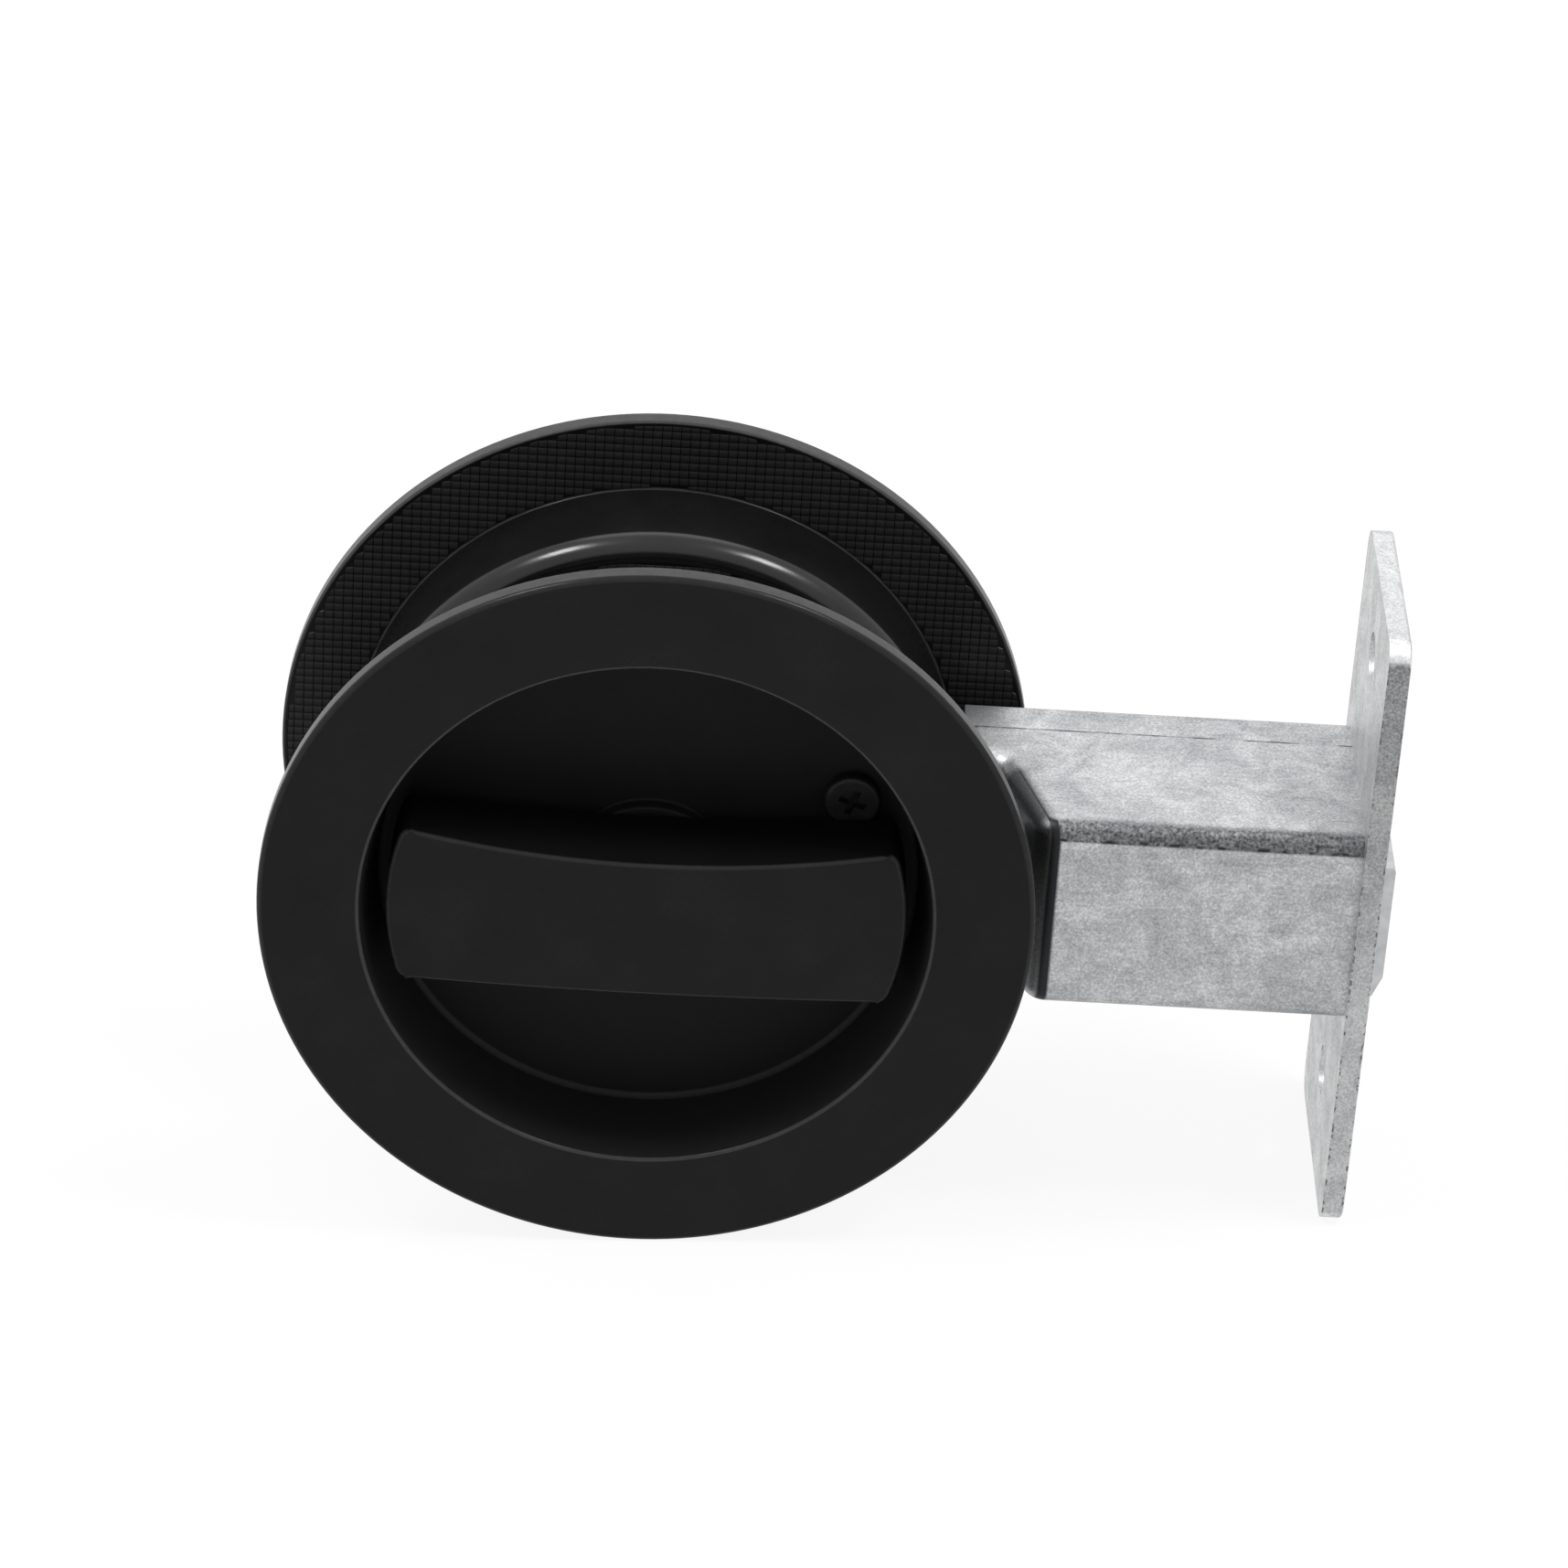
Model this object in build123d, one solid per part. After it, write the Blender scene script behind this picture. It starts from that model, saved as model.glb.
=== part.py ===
# Round privacy lock for a sliding door: two flush rosettes, a turn bar, a pressed case and a hook bolt.
# Frame: the turn axis is Y, through the origin at mid thickness; the turn bar faces -Y,
# the faceplate stands at +X and +Z is up. The lock is modelled unlocked. Millimetres and degrees.
import os
from math import atan2, cos, degrees, radians, sin, sqrt

from build123d import *

# Rosettes
rosette_d = 66.0
rosette_span = 30.0          # front face to back face
flange_t = 1.9
flange_edge_r = 0.5
opening_d = 48.7
opening_edge_r = 0.25
cup_depth = 8.0
cup_floor_d = 46.2
cup_floor_fillet = 0.7
cup_outer_d = 52.8
cup_draft = 0.3              # the cup is this much smaller in radius at its back
cup_shoulder_r = 1.5
boss_d = 14.2
boss_h = 1.2

# Turn bar and its shaft
bar_length = 44.2
bar_waist = 12.9
bar_end_height = 14.8
bar_proud = 1.7              # middle of the bar stands in front of the rosette face
bar_end_recess = 0.5         # ends of the bar lie behind the rosette face
bar_edge_r = 0.35
bar_washer_gap = 0.1         # between the bar and the washer behind it
shaft_d = 8.0
shaft_end_gap = 0.2          # shaft ends short of the case cheek
bush_wall = 0.95
washer_t = 0.3
washer_d = 13.0
clip_t = 0.5
clip_d = 11.4
clip_groove = 0.7
clip_mouth = 4.0
clip_pocket_d = 12.6
clip_pocket_depth = 1.2
spindle_side = 3.6
spindle_chamfer = 0.3
spindle_bite = 4.6           # length of the spindle inside each shaft

# Coin turn on the outer side
button_d = 14.0
button_h = 1.9
button_edge_r = 0.5
coin_slot_w = 1.6
coin_slot_depth = 1.1

# Through screws and the posts that take them
screw_pitch = 38.1
screw_angle = 26.8           # from the X axis
screw_d = 2.9
screw_head_d = 4.8
screw_head_h = 1.2
screw_head_edge_r = 0.35
screw_length = 9.6
screw_hole_d = 3.1
tapped_hole_d = 3.0
recess_w = 0.6
recess_span = 2.4
recess_depth = 0.7
recess_turn = 20.0
post_d = 5.2
post_floor = 1.2             # blind end of the tapped hole
post_root = 0.5              # the post is cast this far into the cup

# Case
case_wall = 1.0
case_top = 8.85              # above the turn axis
case_bottom = 9.4            # below the turn axis
case_bend_r = 1.6            # outside radius of the bends
cup_case_gap = 0.5           # from the cup to the end of the case
slant_front_reach = 6.2      # corner of front wall and slanted wall, past the end of the case
slant_bend_r = 2.3
slant_back_reach = 2.9       # corner of slanted wall and neck wall, past the end of the case
neck_wall_y = 0.6
neck_bend_r = 1.0
seam_y = 5.7
seam_gap = 0.1
seam_step = 0.1              # the back shell lies this much lower beside the seam
tongue_top = 4.9
tongue_bottom = 8.0
tongue_half = 4.0            # half the thickness; the cups seat on it
tongue_head_r = 8.2
tongue_bend_r = 0.9
rivet_d = 2.4
rivet_head_d = 4.0
rivet_head_t = 0.6
rivet_x = (12.0, 21.0)
rivet_z = 1.6

# Faceplate
plate_inner_x = 60.6
plate_t = 1.9
plate_top = 28.0             # above the turn axis
plate_bottom = 30.0          # below the turn axis
plate_overhang = 1.0         # beyond the case on each side
plate_corner_r = 2.2
plate_edge_r = 0.3
plate_screw_pitch = 42.0
plate_screw_d = 4.3
plate_countersink_d = 7.6
plate_countersink_depth = 1.2
slot_top = 8.1
slot_bottom = 8.7
slot_corner_r = 1.0

# Hub and linkage: two equal cranks and a link make a parallelogram
crank_r = 4.2
crank_rest = 225.0           # crank angle with the hook drawn in
hub_d = 12.0
hub_t = 1.5
hub_flat = 5.2               # detent flats, distance from the axis
hub_barrel_d = 7.2
crank_pin_d = 1.8
crank_pin_head_d = 2.6
crank_pin_head_t = 0.4
link_t = 2.4
link_eye_d = 3.0
link_width = 2.4
link_drop = 1.0              # bar of the link lies below the line of its eyes
detent_t = 0.4
detent_bow = 0.7

# Hook bolt
pivot_x = 58.0
pivot_z = 0.8
pivot_d = 3.0
hook_width = 15.0
hook_heel_proud = 1.4        # heel outside the faceplate when drawn in
hook_top = 4.6
hook_bottom = 8.4
heel_chamfer_x = 0.8
heel_chamfer_z = 2.0
hook_boss_r = 3.4
hook_arm_r = 1.9
throat_far = 6.2             # throat of the claw, from the pivot
throat_root = 0.6
hook_slot = 3.2
carrier_t = 1.6
carrier_back_x = 42.0
carrier_web_length = 6.0

# Clearances
running = 0.05
side_gap = 0.3
carrier_gap = 0.1            # hook carrier to the case walls
sweep_gap = 0.25
open_pin_gap = 0.2
press = 0.01
least_bend = 0.2             # inside radius of the sharpest bend
cut = 1.0                    # cuts run this far past a face
near = 0.01                  # two places closer than this are the same

# Derived places
face_y = rosette_span / 2
flange_back_y = face_y - flange_t
floor_y = face_y - cup_depth
cup_back_y = tongue_half
boss_y = floor_y + boss_h
bar_back_y = boss_y + washer_t + bar_washer_gap
shaft_end_y = cup_back_y + shaft_end_gap
pocket_y = cup_back_y + clip_pocket_depth
clip_y = (shaft_end_y + pocket_y) / 2
bush_r = shaft_d / 2 + bush_wall
spindle_end_y = shaft_end_y + spindle_bite
plate_outer_x = plate_inner_x + plate_t
heel_x = plate_outer_x + hook_heel_proud
crank_dx = crank_r * cos(radians(crank_rest))
crank_dz = crank_r * sin(radians(crank_rest))
case_end_x = cup_outer_d / 2 + cup_case_gap
slant_front_x = case_end_x + slant_front_reach
slant_back_x = case_end_x + slant_back_reach
case_width = hook_width + 2 * (side_gap + carrier_t + carrier_gap + case_wall)
plate_width = case_width + 2 * plate_overhang
case_inner_top = case_top - case_wall
case_inner_bottom = case_bottom - case_wall
hub_front_y = link_t / 2 + side_gap
hub_back_y = hub_front_y + hub_t
screw_places = [
    (side * screw_pitch / 2 * cos(radians(screw_angle)), side * screw_pitch / 2 * sin(radians(screw_angle)))
    for side in (1, -1)
]


def rod(diameter, y0, y1, x=0.0, z=0.0):
    # Round bar along Y
    return Pos(x, (y0 + y1) / 2, z) * Rot(90, 0, 0) * Cylinder(diameter / 2, abs(y1 - y0))


def block(x0, x1, y0, y1, z0, z1):
    return Pos((x0 + x1) / 2, (y0 + y1) / 2, (z0 + z1) / 2) * Box(abs(x1 - x0), abs(y1 - y0), abs(z1 - z0))


def plate_xz(outline, y0, y1):
    # Flat outline in X and Z, made solid from y0 to y1
    return extrude(Plane.XZ.offset(-y0) * outline, amount=y0 - y1)


def polygon(points):
    return make_face(Polyline(*points, close=True))


def round_corner(face, x, y, radius):
    corner = face.vertices().sort_by_distance(Vector(x, y, 0))[0]
    return fillet(corner, radius)


def square_bar(side, y0, y1):
    return block(-side / 2, side / 2, y0, y1, -side / 2, side / 2)


def mirrored(shape):
    return mirror(shape, about=Plane.XZ)


def rosette():
    # Turned section of the front rosette, radius along X and depth along Y
    points = [
        (bush_r, -boss_y),
        (boss_d / 2, -boss_y),
        (boss_d / 2, -floor_y),
        (cup_floor_d / 2, -floor_y),
        (opening_d / 2, -face_y),
        (rosette_d / 2, -face_y),
        (rosette_d / 2, -flange_back_y),
        (cup_outer_d / 2, -flange_back_y),
        (cup_outer_d / 2 - cup_draft, -cup_back_y),
        (clip_pocket_d / 2, -cup_back_y),
        (clip_pocket_d / 2, -pocket_y),
        (bush_r, -pocket_y),
    ]
    section = polygon(points)
    section = round_corner(section, cup_floor_d / 2, -floor_y, cup_floor_fillet)
    section = round_corner(section, opening_d / 2, -face_y, opening_edge_r)
    section = round_corner(section, rosette_d / 2, -face_y, flange_edge_r)
    section = round_corner(section, cup_outer_d / 2 - cup_draft, -cup_back_y, cup_shoulder_r)
    return revolve(section, Axis.Y)


def front_rosette():
    body = rosette()
    for x, z in screw_places:
        body -= rod(screw_hole_d, -boss_y, -cup_back_y + cut, x, z)
    return body


def back_rosette():
    body = mirrored(rosette())
    for x, z in screw_places:
        body += rod(post_d, -cup_back_y, cup_back_y + post_root, x, z)
        body -= rod(tapped_hole_d, -cup_back_y - cut, cup_back_y - post_floor, x, z)
    return body


def through_screws():
    screws = []
    for x, z in screw_places:
        head_y = -floor_y - screw_head_h
        head = rod(screw_head_d, head_y, -floor_y, x, z)
        head = fillet(head.edges().group_by(Axis.Y)[0], screw_head_edge_r)
        for turn in (0, 90):
            slot = Box(recess_span, 2 * recess_depth, recess_w)
            head -= Pos(x, head_y, z) * Rot(0, turn + recess_turn, 0) * slot
        screws.append(head + rod(screw_d, -floor_y, -floor_y + screw_length, x, z))
    return Compound(children=screws)


def shaft():
    # Front shaft with its clip groove; the spindle socket is cut by the caller
    body = rod(shaft_d, -bar_back_y, -shaft_end_y)
    ring = rod(shaft_d + 2 * cut, -clip_y - clip_t / 2 - running, -clip_y + clip_t / 2 + running)
    return body - (ring - rod(shaft_d - 2 * clip_groove, -bar_back_y, 0))


def spindle_socket():
    return square_bar(spindle_side + 2 * running, -spindle_end_y - running, 0)


def turn_snib():
    # Bow-tie bar: ends are arcs about the axis, long sides curve in, the front is crowned
    half_chord = sqrt((bar_length / 2) ** 2 - (bar_end_height / 2) ** 2)
    side_rise = (bar_end_height - bar_waist) / 2
    side_r = (half_chord ** 2 + side_rise ** 2) / (2 * side_rise)
    outline = Circle(bar_length / 2)
    for side in (1, -1):
        outline -= Pos(0, side * (bar_waist / 2 + side_r)) * Circle(side_r)
    crown = bar_proud + bar_end_recess
    crown_r = (half_chord ** 2 + crown ** 2) / (2 * crown)
    front_y = -face_y - bar_proud
    bar = plate_xz(outline, front_y - cut, -bar_back_y)
    bar &= Pos(0, front_y + crown_r, 0) * Cylinder(crown_r, 2 * bar_end_height)
    rim = [edge for edge in bar.edges() if edge.center().Y < (front_y - bar_back_y) / 2]
    bar = fillet(rim, bar_edge_r)
    return bar + shaft() - spindle_socket()


def release_button():
    head = rod(button_d, bar_back_y, bar_back_y + button_h)
    head = fillet(head.edges().group_by(Axis.Y)[-1], button_edge_r)
    top = bar_back_y + button_h
    head -= block(-button_d, button_d, top - coin_slot_depth, top + cut, -coin_slot_w / 2, coin_slot_w / 2)
    return head + mirrored(shaft()) - mirrored(spindle_socket())


def bush():
    sleeve = rod(2 * bush_r - 2 * press, -boss_y, -pocket_y)
    return sleeve - rod(shaft_d + 2 * running, -boss_y - cut, 0)


def washer():
    return rod(washer_d, -boss_y - washer_t, -boss_y) - rod(shaft_d + 4 * running, -face_y, 0)


def clip():
    # Open spring clip in the shaft groove
    inner = shaft_d - 2 * clip_groove + 2 * running
    ring = rod(clip_d, -clip_y - clip_t / 2, -clip_y + clip_t / 2) - rod(inner, -face_y, 0)
    return ring - block(-clip_mouth / 2, clip_mouth / 2, -face_y, 0, 0, -clip_d)


def case_body(inset):
    # Wide part of the case, drawn in plan and grown from it; inset gives the inner skin
    half = case_width / 2
    mouth_x = plate_inner_x + 2 * inset
    plan = polygon([(mouth_x, -half), (slant_front_x, -half), (slant_back_x, neck_wall_y),
                    (case_end_x, neck_wall_y), (case_end_x, half), (mouth_x, half)])
    if inset:
        plan = offset(plan, amount=-inset, kind=Kind.INTERSECTION)
    plan = round_corner(plan, slant_front_x, -half, slant_bend_r - inset)
    plan = round_corner(plan, slant_back_x, neck_wall_y, neck_bend_r + inset)
    solid = Pos(0, 0, inset - case_bottom) * extrude(plan, amount=case_top + case_bottom - 2 * inset)
    rims = solid.edges().group_by(Axis.Z)
    bends = [edge for edge in list(rims[0]) + list(rims[-1])
             if case_end_x + inset + near < edge.center().X < mouth_x - inset - near]
    return fillet(bends, max(case_bend_r - inset, least_bend))


def tongue_body(inset):
    # Slim neck with a round head for the hub
    outline = Circle(tongue_head_r - inset)
    reach = slant_front_x + case_wall
    bar = polygon([(0, -tongue_bottom + inset), (reach, -tongue_bottom + inset),
                   (reach, tongue_top - inset), (0, tongue_top - inset)])
    solid = plate_xz(outline + bar, -tongue_half + inset, tongue_half - inset)
    keep = block(-2 * tongue_head_r, reach, -face_y, face_y, -face_y, face_y)
    sides = [edge for edge in solid.edges() if edge.center().X < reach - near
             and abs(abs(edge.center().Y) - tongue_half + inset) < near]
    return fillet(sides, max(tongue_bend_r - inset, least_bend)) & keep


def case_shells():
    outer = case_body(0)
    inner = case_body(case_wall)
    wide = outer - inner
    neck = tongue_body(0) - tongue_body(case_wall)
    neck_outer = neck - outer
    wide = wide - tongue_body(case_wall)
    hollow = wide + neck_outer
    for diameter, y0, y1 in ((hub_barrel_d + 2 * running, 0, face_y), (shaft_d, -face_y, 0)):
        hollow -= rod(diameter, y0, y1)
    head_y = tongue_half - rivet_head_t
    for x in rivet_x:
        hollow -= rod(rivet_d + 2 * press, -face_y, face_y, x, rivet_z)
        for side in (1, -1):
            hollow -= rod(rivet_head_d + 2 * press, side * head_y, side * face_y, x, rivet_z)
    far = 2 * plate_inner_x
    split_x = case_end_x + case_wall
    front_zone = block(split_x, far, -far, seam_y, -far, far)
    front_zone += block(-far, split_x, -far, 0, -far, far)
    front = hollow & front_zone
    back_zone = block(split_x, far, seam_y + seam_gap, far, seam_step - case_bottom, case_top - seam_step)
    back_zone += block(-far, split_x, 0, far, seam_step - case_bottom, case_top - seam_step)
    return front, hollow & back_zone


def case_rivets():
    rivets = []
    for x in rivet_x:
        rivet = rod(rivet_d, -tongue_half, tongue_half, x, rivet_z)
        for side in (1, -1):
            rivet += rod(rivet_head_d, side * (tongue_half - rivet_head_t), side * tongue_half, x, rivet_z)
        rivets.append(rivet)
    return Compound(children=rivets)


def faceplate():
    outline = Pos(0, (plate_top - plate_bottom) / 2) * RectangleRounded(
        plate_width, plate_top + plate_bottom, plate_corner_r)
    outline -= Pos(0, (slot_top - slot_bottom) / 2) * RectangleRounded(
        hook_width + 2 * side_gap, slot_top + slot_bottom, slot_corner_r)
    body = extrude(Plane.YZ.offset(plate_inner_x) * outline, amount=plate_t)
    rim = [edge for edge in body.edges().group_by(Axis.X)[-1] if abs(edge.center().Y) > hook_width / 2 + cut
           or abs(edge.center().Z) > slot_bottom + cut]
    body = fillet(rim, plate_edge_r)
    for side in (1, -1):
        place = Pos(plate_outer_x, 0, side * plate_screw_pitch / 2) * Rot(0, 90, 0)
        sink = Cone(plate_screw_d / 2, plate_countersink_d / 2, plate_countersink_depth)
        body -= place * Pos(0, 0, -plate_countersink_depth / 2) * sink
        body -= place * Cylinder(plate_screw_d / 2, 3 * plate_t)
    return body


def hook_carrier():
    half = hook_width / 2 + side_gap
    top = case_inner_top - press
    outer = half + carrier_t
    body = block(carrier_back_x, plate_inner_x, -outer, outer, press - case_inner_bottom, top)
    body = fillet(body.edges().filter_by(Axis.X), case_bend_r - case_wall + 2 * press)
    body -= block(carrier_back_x - cut, plate_inner_x + cut, -half, half, -case_bottom, top - carrier_t)
    body -= block(carrier_back_x + carrier_web_length, plate_inner_x + cut, -half, half, 0, case_top)
    return body - rod(pivot_d + 2 * press, -face_y, face_y, pivot_x, pivot_z)


def hook_pivot_pin():
    reach = hook_width / 2 + side_gap + carrier_t
    return rod(pivot_d, -reach, reach, pivot_x, pivot_z)


def hook_bolt():
    # Outline about the pivot: heel block, claw tip and drive arm
    top_r = case_inner_top - pivot_z - sweep_gap
    tip_r = case_inner_bottom + pivot_z - sweep_gap
    low = -hook_bottom - pivot_z
    heel = heel_x - pivot_x
    step = plate_inner_x + sweep_gap - pivot_x
    upper = Rectangle(2 * top_r, 2 * top_r) & Circle(top_r)
    upper &= Pos(heel / 2, 0) * Rectangle(heel, 2 * (hook_top - pivot_z))
    lower = polygon([(0, 0), (heel, 0), (heel, low + heel_chamfer_z), (heel - heel_chamfer_x, low),
                     (step, low), (step, -throat_far), (0, -throat_far)])
    claw = Circle(tip_r) & Pos(-tip_r / 2 + step / 2, -(throat_far + tip_r) / 2) * Rectangle(
        tip_r + step, tip_r - throat_far)
    shank = Pos((heel - throat_root) / 2, -throat_far / 2) * Rectangle(heel + throat_root, throat_far)
    arm = make_hull(Circle(hook_boss_r).edges() + (Pos(crank_dx, crank_dz) * Circle(hook_arm_r)).edges())
    outline = Pos(pivot_x, pivot_z) * (upper + lower + claw + shank + arm)
    body = plate_xz(outline, -hook_width / 2, hook_width / 2)
    slot_right = pivot_x + crank_dx + link_eye_d / 2 + side_gap
    slot_low = pivot_z + crank_dz - link_drop - link_width / 2 - side_gap
    body -= block(carrier_back_x, slot_right, -hook_slot / 2, hook_slot / 2, slot_low, case_top)
    body -= rod(pivot_d + 2 * running, -face_y, face_y, pivot_x, pivot_z)
    return body - rod(crank_pin_d + 2 * press, -face_y, face_y, pivot_x + crank_dx, pivot_z + crank_dz)


def hook_drive_pin():
    return rod(crank_pin_d, -hook_width / 2, hook_width / 2, pivot_x + crank_dx, pivot_z + crank_dz)


def hub():
    body = rod(hub_d, hub_front_y, hub_back_y) + rod(hub_barrel_d, hub_back_y, tongue_half)
    body -= block(-hub_d, hub_d, 0, hub_back_y, hub_flat, hub_d)
    body -= block(hub_flat, hub_d, 0, hub_back_y, -hub_d, hub_d)
    body -= square_bar(spindle_side + 2 * running, 0, face_y)
    return body - rod(crank_pin_d + 2 * press, 0, hub_back_y, crank_dx, crank_dz)


def crank_pin():
    front = -link_t / 2 - side_gap / 2
    pin = rod(crank_pin_d, front, hub_back_y, crank_dx, crank_dz)
    return pin + rod(crank_pin_head_d, front - crank_pin_head_t, front, crank_dx, crank_dz)


def drive_link():
    far_x = crank_dx + pivot_x
    far_z = crank_dz + pivot_z
    slope = degrees(atan2(pivot_z, pivot_x))
    eyes = Pos(crank_dx, crank_dz) * Circle(link_eye_d / 2) + Pos(far_x, far_z) * Circle(link_eye_d / 2)
    middle = Pos((crank_dx + far_x) / 2, (crank_dz + far_z) / 2) * Rot(0, 0, slope)
    bar = middle * Pos(0, -link_drop) * SlotCenterToCenter(sqrt(pivot_x ** 2 + pivot_z ** 2), link_width)
    body = plate_xz(eyes + bar, -link_t / 2, link_t / 2)
    body -= rod(crank_pin_d + 2 * running, -face_y, face_y, crank_dx, crank_dz)
    return body - rod(crank_pin_d + 2 * open_pin_gap, -face_y, face_y, far_x, far_z)


def spindle():
    bar = square_bar(spindle_side, -spindle_end_y, spindle_end_y)
    return chamfer(bar.edges().filter_by(Axis.Y), spindle_chamfer)


def detent_spring():
    # Bowed leaf that sits on the hub flat, its ends tucked under the round head of the case
    low = hub_flat + running
    half = sqrt((tongue_head_r - case_wall) ** 2 - (low + detent_bow + detent_t) ** 2) - running
    bow_r = (half ** 2 + detent_bow ** 2) / (2 * detent_bow)
    ring = Circle(bow_r) - Circle(bow_r - detent_t)
    window = Rectangle(2 * half, detent_bow + 2 * detent_t)
    leaf = Pos(0, low + bow_r) * ring & Pos(0, low + detent_bow / 2) * window
    return plate_xz(leaf, hub_front_y, hub_back_y)


front_shell, back_shell = case_shells()
nodes = {
    "front_rosette": front_rosette(),
    "back_rosette": back_rosette(),
    "case_front_shell": front_shell,
    "case_back_shell": back_shell,
    "faceplate": faceplate(),
    "hook_carrier": hook_carrier(),
    "hook_pivot_pin": hook_pivot_pin(),
    "case_rivets": case_rivets(),
    "through_screws": through_screws(),
    "detent_spring": detent_spring(),
    "front_bush": bush(),
    "back_bush": mirrored(bush()),
    "front_washer": washer(),
    "back_washer": mirrored(washer()),
    "turn_snib": turn_snib(),
    "release_button": release_button(),
    "front_clip": clip(),
    "back_clip": mirrored(clip()),
    "spindle": spindle(),
    "hub": hub(),
    "crank_pin": crank_pin(),
    "drive_link": drive_link(),
    "hook_bolt": hook_bolt(),
    "hook_drive_pin": hook_drive_pin(),
}

os.makedirs("parts", exist_ok=True)
for name, shape in nodes.items():
    shape.label = name
    export_step(shape, f"parts/{name}.step")
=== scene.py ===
from math import cos, pi, radians, sin, sqrt

import bmesh
import bpy
from mathutils import Matrix, Vector


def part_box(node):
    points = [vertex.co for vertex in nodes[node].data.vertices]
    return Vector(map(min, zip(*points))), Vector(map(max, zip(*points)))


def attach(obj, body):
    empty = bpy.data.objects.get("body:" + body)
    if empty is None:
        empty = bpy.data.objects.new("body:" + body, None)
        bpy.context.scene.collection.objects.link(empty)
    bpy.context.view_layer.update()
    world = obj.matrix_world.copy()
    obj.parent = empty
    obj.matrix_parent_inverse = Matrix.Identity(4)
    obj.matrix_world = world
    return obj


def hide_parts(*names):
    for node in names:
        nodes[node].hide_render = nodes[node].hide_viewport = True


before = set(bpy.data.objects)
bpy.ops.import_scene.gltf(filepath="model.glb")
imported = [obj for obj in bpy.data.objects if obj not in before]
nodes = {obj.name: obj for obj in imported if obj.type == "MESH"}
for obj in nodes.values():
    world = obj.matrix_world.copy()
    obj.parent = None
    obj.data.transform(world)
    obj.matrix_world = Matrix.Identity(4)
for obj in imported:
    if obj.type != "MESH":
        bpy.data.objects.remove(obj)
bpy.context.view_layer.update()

scene = bpy.context.scene
scene.view_settings.view_transform = "Standard"
mm = 0.001


def sidesOf(node):
    # Sides of a solid's box, in mm
    low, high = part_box(node)
    names = ("left", "front", "bottom", "right", "back", "top")
    return {name: round(value / mm, 3) for name, value in zip(names, (*low, *high))}


def hexColour(code):
    # sRGB hex to the linear colour that shaders take
    parts = [int(code[i:i + 2], 16) / 255 for i in (1, 3, 5)]
    return [p / 12.92 if p <= 0.04045 else ((p + 0.055) / 1.055) ** 2.4 for p in parts] + [1]


def add(tree, kind, links=None, stops=(), **settings):
    # One node: links are its inputs as values or sockets, stops its colours, settings its properties
    node = tree.nodes.new("ShaderNode" + kind)
    for key, value in settings.items():
        setattr(node, key, value)
    for i, (position, code) in enumerate(stops):
        elements = node.color_ramp.elements
        element = elements[i] if i < 2 else elements.new(position)
        element.position = position
        element.color = hexColour(code)
    for key, value in (links or {}).items():
        if isinstance(value, bpy.types.NodeSocket):
            tree.links.new(value, node.inputs[key])
        else:
            node.inputs[key].default_value = value
    return node


def startMaterial(name):
    material = bpy.data.materials.new(name)
    material.use_nodes = True
    tree = material.node_tree
    shader = tree.nodes["Principled BSDF"]
    place = add(tree, "TexCoord").outputs["Object"]
    return material, tree, shader, place


# Camera: place and lens worked out from the rims of the rosettes and the corners of the plate
view = {
    "imageWidth": 1715,
    "focal": 6716.1,          # in pixels of that image
    "sensor": 36.0,
    "distance": 513.0,
    "azimuth": -1.442,
    "elevation": 30.389,
    "roll": 3.843,
    "target": (10.918, -15.0, 14.084),
}


def makeCamera(s):
    az, el, roll = (radians(s[key]) for key in ("azimuth", "elevation", "roll"))
    back = Vector((sin(az) * cos(el), -cos(az) * cos(el), sin(el)))
    right = Vector((cos(az), sin(az), 0))
    up = back.cross(right)
    side = cos(roll) * right + sin(roll) * up
    head = cos(roll) * up - sin(roll) * right
    data = bpy.data.cameras.new("photoCamera")
    data.sensor_width = s["sensor"]
    data.lens = s["focal"] * s["sensor"] / s["imageWidth"]
    data.clip_start = 0.01
    camera = bpy.data.objects.new("photoCamera", data)
    turn = Matrix((side, head, back)).transposed().to_4x4()
    camera.matrix_world = Matrix.Translation((Vector(s["target"]) + s["distance"] * back) * mm) @ turn
    scene.collection.objects.link(camera)
    scene.camera = camera


makeCamera(view)
print("camera placed")


# Studio: white surroundings, a pale floor under the rims and soft lamps
studio = {
    "ambient": 0.6,
    "floorShare": 0.9,        # share of the floor's white that shadows don't touch
    "floorColour": "#f4f4f4",
    "floorSize": 4.0,
    "floorTilt": 2.8,         # the lock rests on both rims and the low end of the plate
    "lamps": [
        ("leftSoftbox", (-300, -60, 520), (170, 110), 1.5),
        ("rightSoftbox", (290, -80, 520), (170, 110), 1.5),
        ("backSoftbox", (0, 420, 520), (500, 300), 0.5),
    ],
}


def seenDirectly(tree):
    # 1 for rays that show the background itself: straight, mirrored or through glass
    path = add(tree, "LightPath")
    first = add(tree, "Math", {0: path.outputs["Is Camera Ray"], 1: path.outputs["Is Glossy Ray"]},
                operation="MAXIMUM")
    both = add(tree, "Math", {0: first.outputs[0], 1: path.outputs["Is Transmission Ray"]},
               operation="MAXIMUM")
    return both.outputs[0]


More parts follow.
